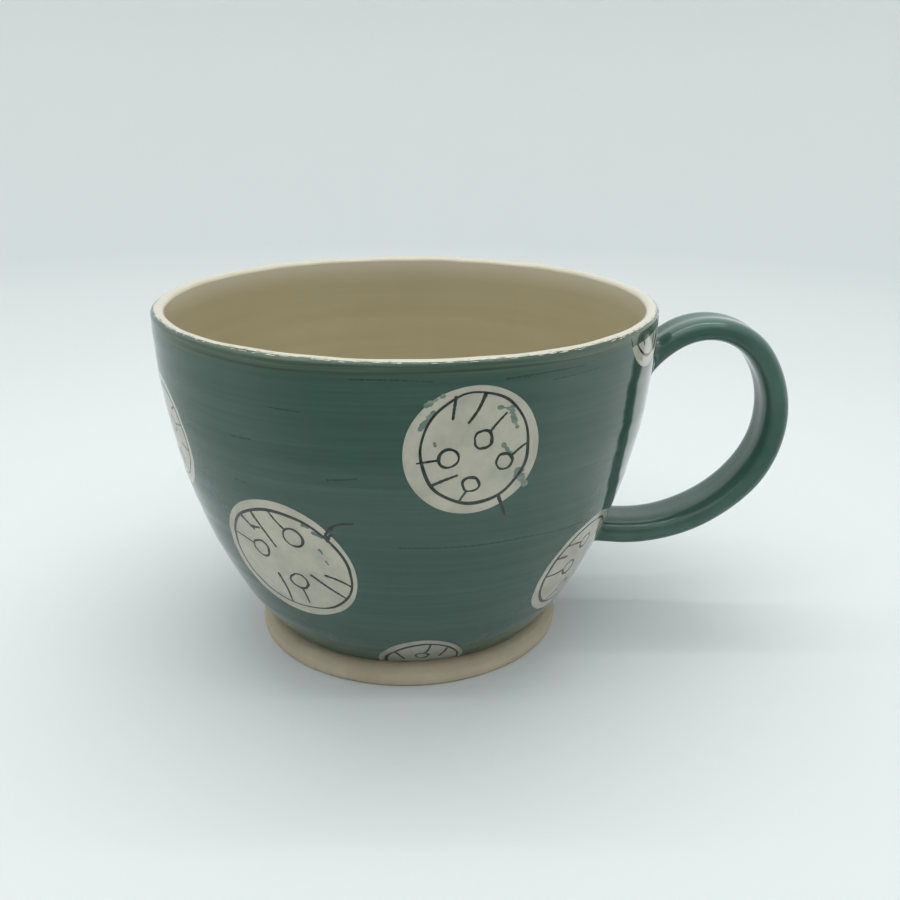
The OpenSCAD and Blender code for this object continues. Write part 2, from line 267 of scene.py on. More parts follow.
# Thin smears of green slip dragged over a window: both ends and half-width.
SMEARS = [
    [(-10.7, 5.5, -8.2, 8.9, 0.5), (7.6, 8.6, 9.0, 4.6, 0.5), (4.9, 9.1, 7.2, 8.5, 0.4),
     (6.3, 0.9, 8.0, -1.4, 0.55), (-7.9, 2.5, -7.7, 1.8, 0.4), (10.0, -5.6, 11.6, -8.6, 0.9),
     (-9.6, 10.4, -6.4, 12.2, 0.5)],
    [(9.2, 10.2, 10.8, 9.4, 0.5), (7.0, 11.8, 8.2, 11.4, 0.4), (10.4, 2.4, 10.7, 1.6, 0.3),
     (9.6, 5.6, 10.0, 4.6, 0.35)],
    [(-6.0, 8.4, -4.2, 9.2, 0.5)], [(6.0, -6.4, 7.2, -7.6, 0.5)], [(-6.2, 1.6, -5.2, 2.4, 0.45)], [],
    [(5.4, 6.4, 6.8, 5.2, 0.5)], [(-9.2, -4.6, -8.0, -6.0, 0.6)], [(8.2, 3.6, 9.2, 2.0, 0.5)],
    [(1.4, -9.0, 3.2, -9.6, 0.5)], [], []]

# Thin dark strokes left in the green by the edge of the brush: from and to, in
# degrees round and mm up, and half-width.
STREAKS = [
    (-90.5, 43.9, -62, 43.4, 0.16), (-62, 43.4, -41, 41.9, 0.2), (-104.5, 59.6, -98.5, 60.4, 0.2),
    (-126, 66, -121, 66.2, 0.16), (-70, 80.6, -52, 80.9, 0.14), (-99, 81.2, -84, 80.9, 0.12),
    (-60, 79.2, -48, 79.6, 0.1), (-128, 55.6, -124.5, 55.2, 0.14), (-50, 57, -44, 57.1, 0.12),
    (-116, 74, -109, 73.8, 0.1), (12, 30, 26, 31, 0.2), (54, 62, 70, 61.6, 0.14),
    (100, 44, 118, 43.6, 0.18), (136, 70, 150, 70.4, 0.14), (170, 50, 177, 50.2, 0.2),
    (60, 12, 74, 12.3, 0.16),
]

hand = np.random.default_rng(7)
BRUSH = 0.30
# A wave starts anywhere round the circle.
FULL_TURN = 6.28


def wavy_circle(radius, wobble):
    """Points of a hand-cut circle round (0, 0)."""
    turn = np.linspace(0, 2 * math.pi, max(24, int(radius * 16)), endpoint=False)
    size = np.ones_like(turn)
    for waves in (2, 3, 4, 6, 9):
        size += wobble / waves**0.7 * hand.normal() * np.cos(waves * turn + hand.uniform(0, FULL_TURN))
    return np.stack([radius * size * np.cos(turn), radius * size * np.sin(turn)], -1)


def closed_stroke(middle, width):
    """Outer and inner edges of a brush line run round a closed path."""
    along = np.roll(middle, -1, 0) - np.roll(middle, 1, 0)
    across = np.stack([along[:, 1], -along[:, 0]], -1) / np.linalg.norm(along, axis=1)[:, None]
    turn = np.linspace(0, 2 * math.pi, len(middle), endpoint=False)
    swell = 1 + 0.22 * np.cos(turn + hand.uniform(0, FULL_TURN))
    swell = swell + 0.12 * np.cos(5 * turn + hand.uniform(0, FULL_TURN))
    half = width * swell
    return [middle + across * half[:, None], middle - across * half[:, None]]


def open_stroke(ends, width, bow=0.03, rough=0.1):
    """Outline of one brush line between two points, with round ends."""
    start, stop = np.array(ends[:2]), np.array(ends[2:4])
    length = np.linalg.norm(stop - start)
    along = (stop - start) / length
    across = np.array([along[1], -along[0]])
    steps = max(6, int(length / 0.35))
    part = np.linspace(0, 1, steps)
    sag = hand.normal() * bow * length * np.sin(math.pi * part)
    spine = start + part[:, None] * (stop - start) + sag[:, None] * across
    half = width * (1 + rough * hand.normal(size=steps)) * (1.12 - 0.3 * part)
    side_a = spine + across * half[:, None]
    side_b = spine - across * half[:, None]
    cap = [spine[-1] + half[-1] * (across * math.cos(a) + along * math.sin(a)) for a in (0.8, 1.57, 2.3)]
    tip = [spine[0] - half[0] * (across * math.cos(a) + along * math.sin(a)) for a in (0.8, 1.57, 2.3)]
    return [np.concatenate([side_a, cap, side_b[::-1], tip])]


def to_sheet(window, points):
    """Carries a window's flat points, in mm from its middle, on to the unrolled sheet."""
    turn, height = window[0], window[1]
    reach = np.clip(way_up(height) + points[:, 1], 0, RUN_BODY - 0.5)
    round_mug = math.radians(turn) + points[:, 0] / wall_r(height_at(reach))
    return np.stack([round_mug * SHEET_R, reach], -1)


def inside(points, loops):
    """Which points lie within an outline made of closed loops."""
    hit = np.zeros(len(points), bool)
    for loop in loops:
        x0, y0 = loop[:, 0], loop[:, 1]
        x1, y1 = np.roll(x0, -1), np.roll(y0, -1)
        for a, b, c, d in zip(x0, y0, x1, y1):
            if b == d:
                continue
            crosses = (b > points[:, 1]) != (d > points[:, 1])
            at = (c - a) * (points[:, 1] - b) / (d - b) + a
            hit ^= crosses & (points[:, 0] < at)
    return hit


# Outlines of every window, stroke and smear on the sheet.
window_edges, stroke_edges, smear_edges, soft_points = [], [], [], []
for number, window in enumerate(WINDOWS):
    rim = wavy_circle(window[2], 0.012)
    window_edges.append([to_sheet(window, rim)])
    for inset in (0.35, 0.7):
        soft_points.append(to_sheet(window, rim * (1 - inset / window[2])))
    ring = wavy_circle(window[3], 0.014) * (1, window[4] / window[3]) + np.array(window[5:7])
    strokes = [closed_stroke(ring, BRUSH * 1.1)]
    for x, y, size, far_x, far_y in LOOPS[number]:
        loop = wavy_circle(size, 0.05) + np.array([x, y])
        strokes.append(closed_stroke(loop, BRUSH))
        away = np.array([far_x - x, far_y - y])
        edge = np.array([x, y]) + away * size / np.linalg.norm(away)
        strokes.append(open_stroke((edge[0], edge[1], far_x, far_y), BRUSH * 0.9))
    for dash in DASHES[number]:
        strokes.append(open_stroke(dash, BRUSH * 1.15))
    for tail in TAILS[number]:
        strokes.append(open_stroke(tail, BRUSH * 1.3, 0.06, 0.2))
    stroke_edges.append([[to_sheet(window, loop) for loop in stroke] for stroke in strokes])
    smear_edges.append([[to_sheet(window, loop) for loop in open_stroke(s[:4], s[4], 0.05, 0.3)]
                        for s in SMEARS[number]])

streak_edges = []
for turn_a, up_a, turn_b, up_b, half in STREAKS:
    reach = SHEET_R * (math.radians(turn_b) - math.radians(turn_a))
    start = np.array([math.radians(turn_a) * SHEET_R, way_up(up_a)])
    stop = np.array([start[0] + reach, way_up(up_b)])
    streak_edges.append(open_stroke((*start, *stop), half, 0.012, 0.45))

# The lower edge of the band wanders a little, as the brush did.
round_steps = 360
edge_u = np.linspace(-SHEET_HALF, SHEET_HALF, round_steps + 1)
edge_turn = edge_u / SHEET_R
band_edge = way_up(BAND_LOW) + 0.22 * np.sin(2 * edge_turn + 1) + 0.16 * np.sin(5 * edge_turn + 2) \
    + 0.1 * np.sin(11 * edge_turn)
band_line = np.stack([edge_u, band_edge], -1)

# The band runs on over the outer half of the rolled lip and stops in a ragged edge below its crest.
ragged_u = np.linspace(-SHEET_HALF, SHEET_HALF, 3 * round_steps + 1)
ragged = hand.normal(size=3 * round_steps + 1)
ragged = 0.5 * ragged + 0.25 * (np.roll(ragged, 1) + np.roll(ragged, -1))
ragged[-1] = ragged[0]
CREST = (RUN_BODY + RUN_TOP) / 2
lip_edge = CREST - 0.95 + 0.2 * np.sin(2 * ragged_u / SHEET_R + 0.6) + 0.05 * ragged
lip_line = np.stack([ragged_u, lip_edge], -1)
chips_up, chips_down = [], []
for chips, side in ((chips_up, 0.2), (chips_down, -0.26)):
    for _ in range(170):
        at = hand.uniform(-SHEET_HALF + 3, SHEET_HALF - 3)
        level_there = np.interp(at, ragged_u, lip_edge) + side + 0.1 * hand.normal()
        long = hand.uniform(0.25, 1.1)
        a = np.linspace(0, 2 * math.pi, 10, endpoint=False)
        chip_up = level_there + 0.055 * np.sin(a) + 0.012 * hand.normal(size=10)
        chips.append(np.stack([at + long * np.cos(a), chip_up], -1))

# One sheet of triangles with every outline as an edge of it.
outlines = [loop for group in window_edges for loop in group]
outlines += [loop for window in stroke_edges for stroke in window for loop in stroke]
outlines += [loop for window in smear_edges for smear in window for loop in smear]
outlines += [loop for streak in streak_edges for loop in streak]
outlines += chips_up + chips_down
sheet_points, sheet_edges = [], []
for loop in outlines:
    first = len(sheet_points)
    sheet_points += loop.tolist()
    sheet_edges += [(first + i, first + (i + 1) % len(loop)) for i in range(len(loop))]
for line in (band_line, lip_line):
    first = len(sheet_points)
    sheet_points += line.tolist()
    sheet_edges += [(first + i, first + i + 1) for i in range(len(line) - 1)]
# Rows stand close together over the rounded lower edge of the slip and over the lip.
LOW_EDGE = 2.4
tree_of_points = kdtree.KDTree(len(sheet_points))
for index, (u, v) in enumerate(sheet_points):
    tree_of_points.insert((u, v, 0), index)
tree_of_points.balance()
sheet_points += np.concatenate(soft_points).tolist()
rows_up = np.concatenate([np.linspace(0, LOW_EDGE, 9), np.linspace(LOW_EDGE, RUN_BODY, 66)[1:],
                          np.linspace(RUN_BODY, RUN_TOP, 15)[1:]])
for j, v in enumerate(rows_up):
    clear = 0.5 if LOW_EDGE < v < RUN_BODY else 0.12
    for i, u in enumerate(edge_u):
        on_edge = i in (0, round_steps) or j in (0, len(rows_up) - 1)
        if on_edge or tree_of_points.find((u, v, 0))[2] > clear:
            sheet_points.append((u, v))
flat, _, triangles, _, _, _ = delaunay_2d_cdt([Vector(p) for p in sheet_points], sheet_edges, [], 0, 1e-5)
flat = np.array([tuple(p) for p in flat])
triangles = np.array([t for t in triangles if len(t) == 3])


def spread(triangle_mask):
    """The rows of the sheet's triangles that a mask picks."""
    return triangles[triangle_mask]


middles = flat[triangles].mean(1)
GREEN, BAND, SMEAR, LIP, STREAK = 0, 1, 2, 3, 4
label = np.full(len(triangles), GREEN)


def mark(loops, value):
    """Labels the triangles inside an outline."""
    every = np.concatenate(loops)
    low, high = every.min(0), every.max(0)
    near = np.where((middles >= low).all(1) & (middles <= high).all(1))[0]
    label[near[inside(middles[near], loops)]] = value


for streak in streak_edges:
    mark(streak, STREAK)
for number in range(len(WINDOWS)):
    mark(window_edges[number], 100 + number)
for number in range(len(WINDOWS)):
    for smear in smear_edges[number]:
        mark(smear, SMEAR)
    for stroke in stroke_edges[number]:
        mark(stroke, 200 + number)
label[middles[:, 1] > np.interp(middles[:, 0], edge_u, band_edge)] = BAND
label[middles[:, 1] > np.interp(middles[:, 0], ragged_u, lip_edge)] = LIP
for chip in chips_up:
    mark([chip], BAND)
for chip in chips_down:
    mark([chip], LIP)


def wall_relief(u, v):
    """How far the fired surface stands off the true curve: throwing rings, and windows a hair lower."""
    turn = u / SHEET_R
    lift = 0.05 * np.sin(v / 0.9 + 0.5 * np.sin(turn + 1)) * np.sin(v / 4.1 + 2 * turn) ** 2
    lift += 0.06 * np.sin(v / 2.9 + turn) + 0.05 * np.sin(3 * turn + 0.7) * (v / RUN_TOP)
    for window in WINDOWS:
        x = (turn - math.radians(window[0])) * wall_r(height_at(v))
        depth = np.clip((window[2] - 0.1 - np.hypot(x, v - way_up(window[1]))) / 0.8, 0, 1)
        lift -= 0.13 * depth * depth * (3 - 2 * depth)
    edge = np.clip(v / 1.2, 0, 1)
    lift += 0.12 * np.sin(math.pi * edge) - 0.1 * (1 - edge)
    over_lip = np.clip((v - RUN_BODY) / 1.5, 0, 1)
    rolled = 0.05 * np.sin(9 * turn + 1) + 0.04 * np.sin(23 * turn) + 0.05 * np.sin(2 * turn) - 0.05
    return lift * (1 - over_lip) + rolled * over_lip * np.clip((RUN_TOP - v) / 0.8, 0, 1)


u, v = flat[:, 0], flat[:, 1]
lift = wall_relief(u, v)
lean = np.unwrap(np.arctan2(np.gradient(line_z, run), np.gradient(line_r, run)))
lean = np.interp(v, run, lean)
r = np.interp(v, run, line_r) + lift * np.sin(lean)
z = np.interp(v, run, line_z) - lift * np.cos(lean)
turn = u / SHEET_R
wall_places = np.stack([r * np.cos(turn), r * np.sin(turn), z], -1) * MM


def face_out(faces):
    """Turns the sheet's triangles so that they all face away from the clay."""
    flat_side = flat[faces[:, 1]] - flat[faces[:, 0]]
    flat_back = flat[faces[:, 2]] - flat[faces[:, 0]]
    out = flat_side[:, 0] * flat_back[:, 1] - flat_side[:, 1] * flat_back[:, 0] > 0
    return np.where(out[:, None], faces, faces[:, ::-1])


triangles = face_out(triangles)
corner = wall_places[triangles]
face_normal = np.cross(corner[:, 1] - corner[:, 0], corner[:, 2] - corner[:, 0])
# Points on the two sides of the sheet's seam are one point on the mug.
key = np.round(wall_places * 1e7).astype(np.int64)
_, same = np.unique(key, axis=0, return_inverse=True)
same = same.reshape(-1)
wall_normals = np.zeros((same.max() + 1, 3))
for k in range(3):
    np.add.at(wall_normals, same[triangles[:, k]], face_normal)
wall_normals /= np.linalg.norm(wall_normals, axis=1)[:, None]
wall_normals = wall_normals[same]


def place_piece(name, places, faces, normals, material, stands_for):
    """Makes one piece, smooth with the given normals, and joins it to the mug."""
    used, index = np.unique(np.array([i for f in faces for i in f]), return_inverse=True)
    sizes = [len(f) for f in faces]
    cuts = np.split(index.reshape(-1), np.cumsum(sizes)[:-1])
    mesh = bpy.data.meshes.new(name)
    mesh.from_pydata(np.asarray(places)[used].tolist(), [], [c.tolist() for c in cuts])
    mesh.update()
    mesh.polygons.foreach_set("use_smooth", [True] * len(mesh.polygons))
    if normals is not None:
        mesh.normals_split_custom_set_from_vertices(np.asarray(normals)[used].tolist())
    mesh.materials.append(material)
    piece = bpy.data.objects.new(name, mesh)
    bpy.context.scene.collection.objects.link(piece)
    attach(piece, "root")
    if stands_for:
        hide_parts(*stands_for)
    return piece


# Green slip under clear gloss glaze: a brushed, streaky dark green that shows
# long level bristle marks, thin greyer patches and a wet, glassy shine.
def brushed_green(name, deep, mid, thin, thin_at, deep_at, fades_to=None):
    """A brushed slip under clear gloss glaze, in three depths of colour; it may fade out downwards."""
    made, tree, shader, place = new_material(name)
    wander = add_node(tree, "ShaderNodeTexNoise", {"Vector": place, "Scale": 14.0, "Detail": 1.0})
    sway = add_node(tree, "ShaderNodeVectorMath", {0: wander.outputs["Color"], 1: (0, 0, 0.006)},
                    operation="MULTIPLY")
    brushed = add_node(tree, "ShaderNodeVectorMath", {0: place, 1: sway.outputs["Vector"]}, operation="ADD")
    # Bristle marks are a few tenths of a millimetre apart, drawn at about 0.8 mm so that they show.
    level = drawn_out(tree, brushed.outputs["Vector"], (16, 16, 900))
    bristles = noise(tree, level, 1.0, 4.0, 0.62)
    passes = noise(tree, drawn_out(tree, brushed.outputs["Vector"], (9, 9, 120)), 1.0, 2.0)
    tone = between_tones(tree, mix_values(tree, 0.45, bristles, passes), thin_at, thin, deep_at, deep)
    tone.color_ramp.elements.new((thin_at + deep_at) / 2).color = fired(mid)
    colour = tone.outputs["Color"]
    if fades_to:
        worn = add_node(tree, "ShaderNodeMath", {0: bristles, 1: 0.0045, 2: height_of(tree, place)},
                        operation="MULTIPLY_ADD")
        cover = climb(tree, worn.outputs["Value"], (BAND_LOW + 1.7) * MM, (BAND_LOW + 3.2) * MM)
        colour = mix_colours(tree, cover, fired(fades_to), colour)
    tree.links.new(colour, shader.inputs["Base Color"])
    glaze_over(shader, 0.09)
    roughen(tree, shader, bristles, 0.12, 0.0002)
    return made


GREEN_MID = "#385248"
green = brushed_green("brushed_green_slip_glazed", "#334C43", GREEN_MID, "#415B52", 0.3, 0.7)
band_green = brushed_green("second_brushed_coat_glazed", "#2C3F33", "#485A4B", "#6A7866", 0.34, 0.62,
                           fades_to=GREEN_MID)
dark_green = brushed_green("brush_edge_glazed", "#1F332C", "#2A4037", "#334B41", 0.3, 0.7)

# Cream slip under clear glaze: an even, slightly warm white with faint cloudy greening.
# Low on the wall the cream is darkened towards grey: painted shade, where the wall near the foot lies in
# shadow.
cream, tree, shader, place = new_material("cream_slip_glazed")
tone = between_tones(tree, noise(tree, place, 160.0, 3.0, 0.6), 0.3, "#A9A698", 0.62, "#BDB8A8")
full = climb(tree, height_of(tree, place), 4 * MM, 19 * MM)
# Painted shade: the cream turns grey below about 19 mm.
low_shaded_cream = mix_colours(tree, full, fired("#7C8079"), tone.outputs["Color"])
tree.links.new(low_shaded_cream, shader.inputs["Base Color"])
glaze_over(shader, 0.1)

# Black underglaze line: matt brush colour, a little broken and greenish where thin, under gloss.
black, tree, shader, place = new_material("black_underglaze_line")
tone = between_tones(tree, noise(tree, place, 900.0, 3.0), 0.35, "#1E2624", 0.72, "#39443F")
tree.links.new(tone.outputs["Color"], shader.inputs["Base Color"])
glaze_over(shader, 0.1)

# Slip smear: the green slip wiped to a film, so it reads as a soft grey-green stain.
smear_film = brushed_green("wiped_slip_film", "#4F665D", "#67796E", "#8A9687", 0.35, 0.65)

place_piece("brushed_green_coat", wall_places, spread(label == GREEN), wall_normals, green,
            ["green_slip"])
place_piece("brushed_rim_band", wall_places, spread(label == BAND), wall_normals, band_green,
            ["rim_band"])
place_piece("slip_smears", wall_places, spread(label == SMEAR), wall_normals, smear_film,
            [])
place_piece("dark_brush_edges", wall_places, spread(label == STREAK), wall_normals, dark_green,
            [])
for number in range(len(WINDOWS)):
    code = f"{number + 1:02d}"
    place_piece(f"cream_disc_{code}", wall_places, spread(label == 100 + number), wall_normals, cream,
                [f"cream_window_{code}"])
    place_piece(f"brush_lines_{code}", wall_places, spread(label == 200 + number), wall_normals, black,
                [f"line_drawing_{code}"])


# ---------------------------------------------------------------------------
# The lip and the liner. Cream glaze is poured inside, tipped out, and the lip
# is wiped, so the edge is a soft roll and the hollow keeps faint finger rings.
# ---------------------------------------------------------------------------
# A profile that ends nearer the axis than this, in mm, ends on it.
ON_AXIS = 0.01


def turned(name, profile, relief, steps, material, stands_for):
    """Turns a profile of (radius, height) points round the mug's axis."""
    profile = np.array(profile)
    count = len(profile)
    angle = np.linspace(0, 2 * math.pi, steps, endpoint=False)
    radius, height = relief(profile[:, 0][None, :], profile[:, 1][None, :], angle[:, None])
    radius = np.broadcast_to(radius, (steps, count))
    height = np.broadcast_to(height, (steps, count))
    around = [radius * np.cos(angle[:, None]), radius * np.sin(angle[:, None]), height]
    places = np.stack(around, -1).reshape(-1, 3)
    faces = []
    for i in range(steps):
        near, far = i * count, (i + 1) % steps * count
        faces += [(near + k, far + k, far + k + 1, near + k + 1) for k in range(count - 1)]
    if profile[-1, 0] < ON_AXIS:
        # Every turn shares the one point on the axis.
        keep = np.arange(steps * count) % count != count - 1
        renumber = np.where(keep, np.cumsum(keep) - 1, steps * (count - 1)).tolist()
        places = np.vstack([places[keep], [[0, 0, height[0, -1]]]])
        faces = [tuple(dict.fromkeys(renumber[k] for k in face)) for face in faces]
    return place_piece(name, places * MM, faces, None, material, stands_for)


def cream_glaze(name, shade, light, scale, rough):
    """Cream glaze, pooled a little darker where it runs thick and thin, and painted paler towards the rim:
    painted light inside the rim and on the lip's crest.
    """
    made, tree, shader, place = new_material(name)
    cloud = noise(tree, place, scale, 3.0, 0.55)
    rings = noise(tree, drawn_out(tree, place, (8, 8, 260)), 1.0, 2.0)
    tone = between_tones(tree, mix_values(tree, 0.5, cloud, rings), 0.34, shade, 0.64, light)
    # Painted light: over the top 7 mm the glaze turns to the pale lip cream, for the soft light inside the
    # rim.
    near_lip = climb(tree, height_of(tree, place), (MUG_H - 7) * MM, (MUG_H - 0.5) * MM, "SMOOTHSTEP")
    lit_near_lip = mix_colours(tree, near_lip, tone.outputs["Color"], fired(LIP_CREAM_AND_RIM_LIGHT))
    tree.links.new(lit_near_lip, shader.inputs["Base Color"])
    glaze_over(shader, rough)
    return made


# The lip's own cream, also used to paint the soft light inside the rim.
LIP_CREAM_AND_RIM_LIGHT = "#CEC5B2"
liner_cream = cream_glaze("cream_liner_glaze", "#B3A686", "#B9AD8E", 30.0, 0.22)
lip_cream = cream_glaze("cream_lip_glaze", "#BAB2A4", "#C4BDB0", 220.0, 0.2)

place_piece("rolled_lip", wall_places, spread(label == LIP), wall_normals, lip_cream,
            ["lip_glaze"])

liner_levels = np.concatenate([np.linspace(BODY_TOP, FLOOR_Z + FLOOR_ROUND, 90),
                               FLOOR_Z + FLOOR_ROUND * (1 - np.sin(np.linspace(0, math.pi / 2, 22)[1:]))])
liner_profile = [(float(hollow_r(h)), float(h)) for h in liner_levels]
floor_edge = liner_profile[-1][0]
liner_profile += [(floor_edge * k, FLOOR_Z) for k in np.linspace(1, 0, 16)[1:]]


def liner_relief(radius, height, angle):
    """Finger rings climbing the inside, dying out at the lip, and a spiral on the floor."""
    fade = np.clip((BODY_TOP - height) / 10, 0, 1)
    ring = 0.02 * np.sin(2 * math.pi * height / 6.2 + angle) * fade
    on_floor = np.clip((FLOOR_Z + 0.4 - height) / 0.4, 0, 1)
    spiral = 0.06 * np.sin(radius * 0.9 - angle) * on_floor * np.clip((radius - 1) / 4, 0, 1)
    return radius + ring * (1 - on_floor), height + spiral


turned("cream_liner", liner_profile, liner_relief, 256, liner_cream, ["liner_glaze"])

# ---------------------------------------------------------------------------
# The foot ring. Turned from the base with a loop tool when leather hard, then
# sponged and left bare, so it shows fine level tool lines and soft corners.
# ---------------------------------------------------------------------------
foot_clay, tree, shader, place = new_material("turned_foot_clay")
tone = between_tones(tree, noise(tree, place, 60.0, 4.0, 0.6), 0.3, "#AFA089", 0.7, "#C5B79F")
tree.links.new(tone.outputs["Color"], shader.inputs["Base Color"])
shader.inputs["Roughness"].default_value = 0.82
tool_lines = noise(tree, drawn_out(tree, place, (30, 30, 1500)), 1.0, 3.0)
roughen(tree, shader, mix_values(tree, 0.5, tool_lines, noise(tree, place, 1400.0, 3.0)), 0.35, 0.0003)

FOOT_IN_R = 32.0
EDGE = 1.2
SHOULDER = FOOT_H - EDGE - 0.4
wall_meets = float(wall_r(FOOT_H)) - 0.3
foot_profile = [(FOOT_IN_R, 2.5), (FOOT_IN_R, 1.8), (FOOT_IN_R, EDGE)]
foot_profile += [(FOOT_IN_R + EDGE * (1 - math.cos(a)), EDGE * (1 - math.sin(a)))
                 for a in np.linspace(0, math.pi / 2, 8)[1:]]
foot_profile += [(r_, 0.0) for r_ in np.linspace(FOOT_IN_R + EDGE, FOOT_R - EDGE, 6)[1:-1]]
foot_profile += [(FOOT_R - EDGE + EDGE * math.sin(a), EDGE * (1 - math.cos(a)))
                 for a in np.linspace(0, math.pi / 2, 9)]
foot_profile += [(FOOT_R - 0.05 * k, EDGE + 0.4 * k) for k in (0.5, 1.0)]
foot_profile += [(wall_meets + (FOOT_R - 0.05 - wall_meets) * math.cos(a),
                  EDGE + 0.4 + SHOULDER * math.sin(a) ** 1.15) for a in np.linspace(0, math.pi / 2, 18)[1:]]


def foot_relief(radius, height, angle):
    """Shallow tool marks and a soft unevenness, none below the table."""
    wave = 0.05 * np.sin(height * 5 + 0.6 * np.sin(angle))
    wave = wave + 0.06 * np.sin(3 * angle + 1) + 0.03 * np.sin(7 * angle)
    return radius + wave * (height > 0.3), height + 0 * angle


turned("turned_foot", foot_profile, foot_relief, 300, foot_clay, ["foot_ring"])

# ---------------------------------------------------------------------------
# The handle. A strap pulled by hand from wet clay, scored and stuck to the
# wall at both ends with slip, the joins thumbed into soft fillets, and the
# whole brushed green and glazed with the wall.
# ---------------------------------------------------------------------------
BENDS = [(25.3, 24), (16.0, 85), (27.2, 77), (38.6, 52)]
START = (52.9, 61.4)
RISE = 54.0
ROOT = 9.0
TAIL = 7.0
spine, heading, here = [], math.radians(RISE), np.array(START)
for step in np.linspace(0, ROOT, 24, endpoint=False):
    spine.append((*(here + step * np.array([math.cos(heading), math.sin(heading)])), heading))
here = here + ROOT * np.array([math.cos(heading), math.sin(heading)])
for bend_r, bend in BENDS:
    centre = here + bend_r * np.array([math.sin(heading), -math.cos(heading)])
    for a in np.linspace(0, math.radians(bend), max(12, bend), endpoint=False):
        now = heading - a
        spine.append((*(centre + bend_r * np.array([-math.sin(now), math.cos(now)])), now))
    heading -= math.radians(bend)
    here = centre + bend_r * np.array([-math.sin(heading), math.cos(heading)])
for step in np.linspace(0, TAIL, 20):
    spine.append((*(here + step * np.array([math.cos(heading), math.sin(heading)])), heading))
spine = np.array(spine)
gone = np.concatenate([[0], np.cumsum(np.hypot(np.diff(spine[:, 0]), np.diff(spine[:, 1])))])
gone /= gone[-1]


def strap_outline(count):
    """Unit cross-section of the strap: (thickness, width) from -1 to 1, dished on the outer face."""
    angle = np.linspace(0, 2 * math.pi, count, endpoint=False)
    power = 0.72
    thick = np.sign(np.cos(angle)) * np.abs(np.cos(angle)) ** power
    wide = np.sign(np.sin(angle)) * np.abs(np.sin(angle)) ** power
    dish = np.exp(-(wide / 0.42) ** 2)
    return thick - np.where(thick > 0, 0.17, -0.07) * dish, wide


SIDES = 56
LENGTHS = 170
thick, wide = strap_outline(SIDES)
fine = np.linspace(0, 1, 900)
px = np.interp(fine, gone, spine[:, 0])
pz = np.interp(fine, gone, spine[:, 1])
ph = np.interp(fine, gone, spine[:, 2])
half_t = np.interp(fine, [0, 0.15, 0.5, 0.85, 1], [2.85, 2.9, 3.4, 3.45, 3.5])
half_w = np.interp(fine, [0, 0.15, 0.5, 0.85, 1], [6.9, 6.8, 7.2, 7.25, 7.4])
half_t = half_t + 0.05 * np.sin(fine * 23) + 0.04 * np.sin(fine * 41 + 1)
half_w = half_w + 0.07 * np.sin(fine * 17 + 2)
FILLET = 2.4


def strap_point(j, grow):
    """Places along one lengthwise line of the strap, pushed out all round by grow."""
    across = thick[j] * (half_t + grow)
    y = wide[j] * (half_w + grow)
    return np.stack([px - np.sin(ph) * across, y + 0 * px, pz + np.cos(ph) * across], -1)


def off_wall(points):
    """Distance from the outside of the wall, negative inside it."""
    z = points[:, 2]
    slope = (wall_r(z + 0.5) - wall_r(z - 0.5))
    return (np.hypot(points[:, 0], points[:, 1]) - wall_r(z)) / np.sqrt(1 + slope * slope)


strap_rings = np.zeros((LENGTHS, SIDES, 3))
share = np.linspace(0, 1, LENGTHS)
share = 0.5 - 0.5 * np.cos(math.pi * share) * (0.35 + 0.65 * np.abs(np.cos(math.pi * share)) ** 0.5)
share = (share - share[0]) / (share[-1] - share[0])
for j in range(SIDES):
    bare = strap_point(j, 0)
    gap = off_wall(bare)
    # Under the rim end the strap meets the wall in a plain corner, with hardly any clay thumbed into it.
    soft = FILLET * np.where(fine < 0.5, 1 - 0.85 * np.clip(-1.5 * thick[j], 0, 1), 1)
    near = np.clip(1 - np.clip(gap, 0, soft) / soft, 0, 1)
    flare = soft * (1 - np.sqrt(1 - near * near))
    line = strap_point(j, flare)
    gap = off_wall(line)
    outside = np.where(gap > -0.12)[0]
    run_out = np.interp(outside[0] + (outside[-1] - outside[0]) * share, np.arange(len(fine)), fine)
    for axis in range(3):
        strap_rings[:, j, axis] = np.interp(run_out, fine, line[:, axis])
places = strap_rings.reshape(-1, 3) * MM
faces = []
for i in range(LENGTHS - 1):
    near, far = i * SIDES, (i + 1) * SIDES
    faces += [(near + j, near + (j + 1) % SIDES, far + (j + 1) % SIDES, far + j) for j in range(SIDES)]
faces = np.array(faces)
corner = places[faces]
face_normal = np.cross(corner[:, 2] - corner[:, 0], corner[:, 3] - corner[:, 1])
core = strap_rings.mean(1) * MM
outward = (face_normal * (corner.mean(1) - np.repeat(core[:-1], SIDES, 0))).sum(1).mean()
if outward < 0:
    faces = faces[:, ::-1]
    face_normal = -face_normal
strap_normals = np.zeros_like(places)
for k in range(4):
    np.add.at(strap_normals, faces[:, k], face_normal)
strap_normals /= np.linalg.norm(strap_normals, axis=1)[:, None]

# Slip on the handle is brushed lengthwise, so its streaks follow the strap and not the table.
handle_green, tree, shader, place = new_material("brushed_green_slip_on_handle")
broad = noise(tree, place, 70.0, 3.0, 0.6)
fine_marks = noise(tree, drawn_out(tree, place, (60, 700, 60)), 1.0, 3.0)
tone = between_tones(tree, mix_values(tree, 0.5, broad, fine_marks), 0.34, "#4A695D", 0.62, "#3B594E")
tree.links.new(tone.outputs["Color"], shader.inputs["Base Color"])
glaze_over(shader, 0.1)
roughen(tree, shader, fine_marks, 0.15, 0.0002)

JOIN_ROWS = 22
row = np.arange(len(faces)) // SIDES
LAST_ROWS = LENGTHS - 1 - JOIN_ROWS
place_piece("pulled_strap", places, faces[(row >= JOIN_ROWS) & (row < LAST_ROWS)], strap_normals,
            handle_green, ["handle_strap", "handle_slip"])
place_piece("upper_handle_join", places, faces[row < JOIN_ROWS], strap_normals, handle_green,
            ["upper_joint"])
place_piece("lower_handle_join", places, faces[row >= LAST_ROWS], strap_normals, handle_green,
            ["lower_joint"])

